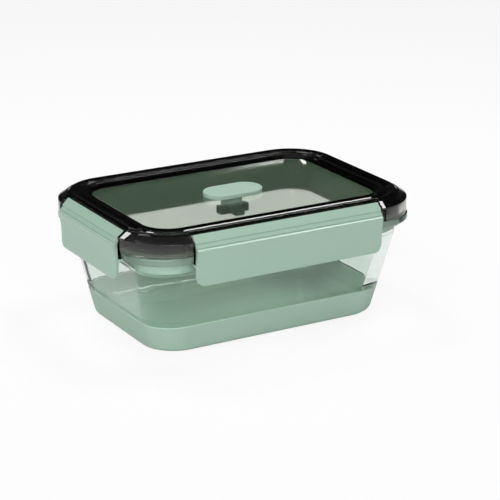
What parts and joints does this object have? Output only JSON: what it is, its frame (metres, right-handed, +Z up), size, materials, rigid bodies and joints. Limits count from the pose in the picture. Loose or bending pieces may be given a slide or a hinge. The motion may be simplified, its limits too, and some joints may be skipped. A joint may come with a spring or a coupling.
{
  "type": "snap lid food container",
  "caption": "Rectangular clear food box with a smoked lid: four hinged latches snap under its rim, a soft seal and vent plug close it, and a soft sleeve covers its foot.",
  "frame": {"origin": "middle of the underside, on the surface the box stands on", "axes": "+X along the long side, +Y from front to back, +Z up"},
  "size_m": [0.2074, 0.1488, 0.0815],
  "materials": {
    "clear_glass": "clear pressed glass",
    "smoked_plastic": "see-through smoked grey, glossy",
    "mint_plastic": "mint green, satin moulding",
    "mint_silicone": "mint green silicone, matte",
    "gasket_silicone": "mint green silicone, smooth"
  },
  "bodies": {
    "base_sleeve": {"base_sleeve": "mint_silicone"},
    "glass_bowl": {"glass_bowl": "clear_glass"},
    "lid": {"lid": "smoked_plastic", "lid_gasket": "gasket_silicone"},
    "vent_plug": {"vent_plug": "mint_silicone"},
    "latch_front": {"latch_front": "mint_plastic"},
    "latch_back": {"latch_back": "mint_plastic"},
    "latch_left": {"latch_left": "mint_plastic"},
    "latch_right": {"latch_right": "mint_plastic"}
  },
  "joints": [
    {"name": "bowl_lift", "type": "slide", "parent": "base_sleeve", "child": "glass_bowl", "axis": [0, 0, 1], "range_m": [0, 0.03]},
    {"name": "lid_lift", "type": "slide", "parent": "glass_bowl", "child": "lid", "axis": [0, 0, 1], "range_m": [0, 0.12]},
    {"name": "vent_lift", "type": "slide", "parent": "lid", "child": "vent_plug", "axis": [0, 0, 1], "range_m": [0, 0.006]},
    {"name": "latch_front_turn", "type": "hinge", "parent": "lid", "child": "latch_front", "pos_m": [0, -0.0684, 0.076], "axis": [-1, 0, 0], "range_deg": [0, 135]},
    {"name": "latch_back_turn", "type": "hinge", "parent": "lid", "child": "latch_back", "pos_m": [0, 0.0684, 0.076], "axis": [1, 0, 0], "range_deg": [0, 135]},
    {"name": "latch_left_turn", "type": "hinge", "parent": "lid", "child": "latch_left", "pos_m": [-0.09765, 0, 0.076], "axis": [0, 1, 0], "range_deg": [0, 135]},
    {"name": "latch_right_turn", "type": "hinge", "parent": "lid", "child": "latch_right", "pos_m": [0.09765, 0, 0.076], "axis": [0, -1, 0], "range_deg": [0, 135]}
  ]
}
